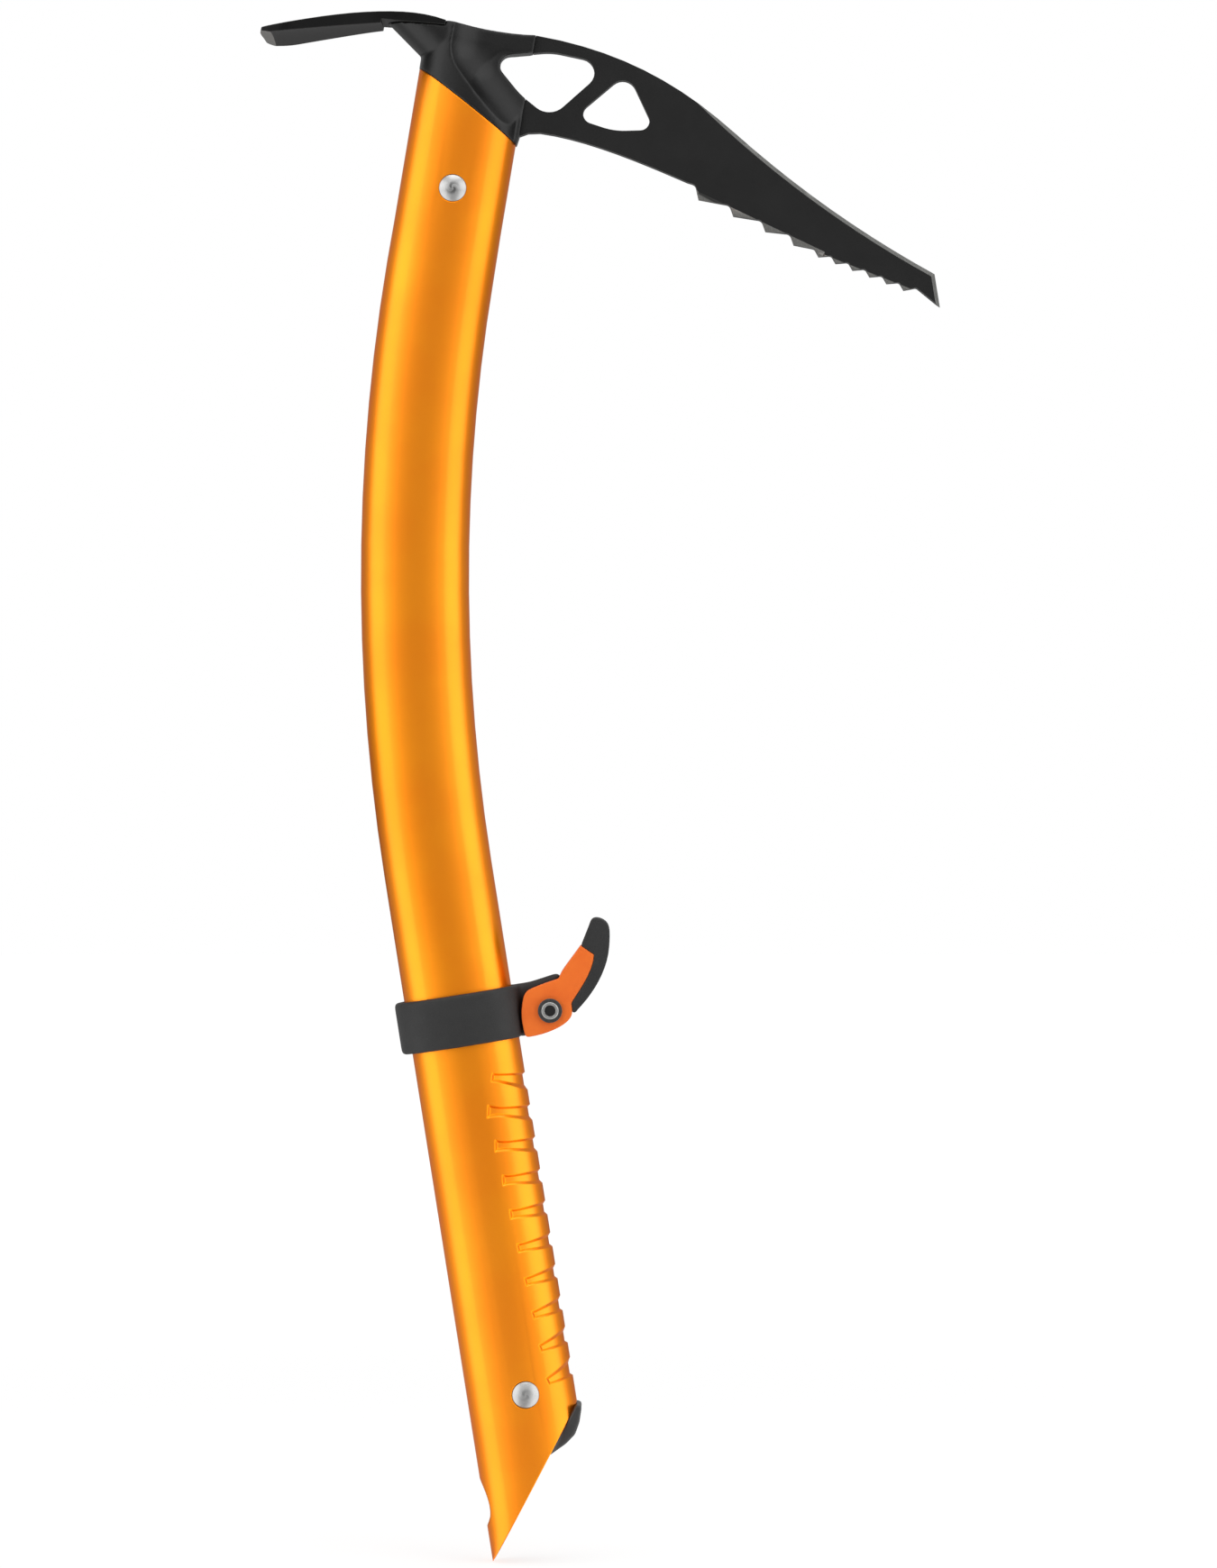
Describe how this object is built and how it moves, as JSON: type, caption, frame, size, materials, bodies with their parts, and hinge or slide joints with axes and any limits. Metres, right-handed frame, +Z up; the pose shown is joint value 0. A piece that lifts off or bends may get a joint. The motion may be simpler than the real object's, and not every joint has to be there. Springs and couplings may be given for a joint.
{
  "type": "ice climbing tool",
  "caption": "Short ice climbing axe: bent oval aluminium shaft with a spike end, toothed steel pick with clip holes, adze and a sliding finger rest on a cam lever.",
  "frame": {"origin": "centre of the straight grip, on the tube's axis", "axes": "+Z up towards the head, +X towards the pick, +Y across the tool"},
  "size_m": [0.197, 0.0352, 0.449],
  "materials": {
    "anodised_shaft": "satin orange anodising",
    "black_steel": "satin black coating on steel",
    "rivet_metal": "spun",
    "black_plastic": "moulded",
    "black_rubber": "matt elastomer",
    "orange_plastic": "moulded",
    "dark_steel": "dark zinc"
  },
  "bodies": {
    "axe": {"shaft": "anodised_shaft", "head_body": "black_steel", "pick_blade": "black_steel", "adze": "black_steel", "head_rivet": "rivet_metal", "end_plug": "black_plastic", "end_rivet": "rivet_metal"},
    "finger_rest": {"rest_band": "black_rubber"},
    "lever": {"rest_lever": "orange_plastic", "lever_pad": "black_rubber", "pivot_screw": "dark_steel", "pivot_nut": "dark_steel"}
  },
  "joints": [
    {"name": "rest_slide", "type": "slide", "parent": "axe", "child": "finger_rest", "axis": [-0.1564, 0, 0.9877], "range_m": [-0.09, 0.035]},
    {"name": "lever_pivot", "type": "hinge", "parent": "finger_rest", "child": "lever", "pos_m": [0.01591, 0, 0.06448], "axis": [0, -1, 0], "range_deg": [0, 30]}
  ]
}
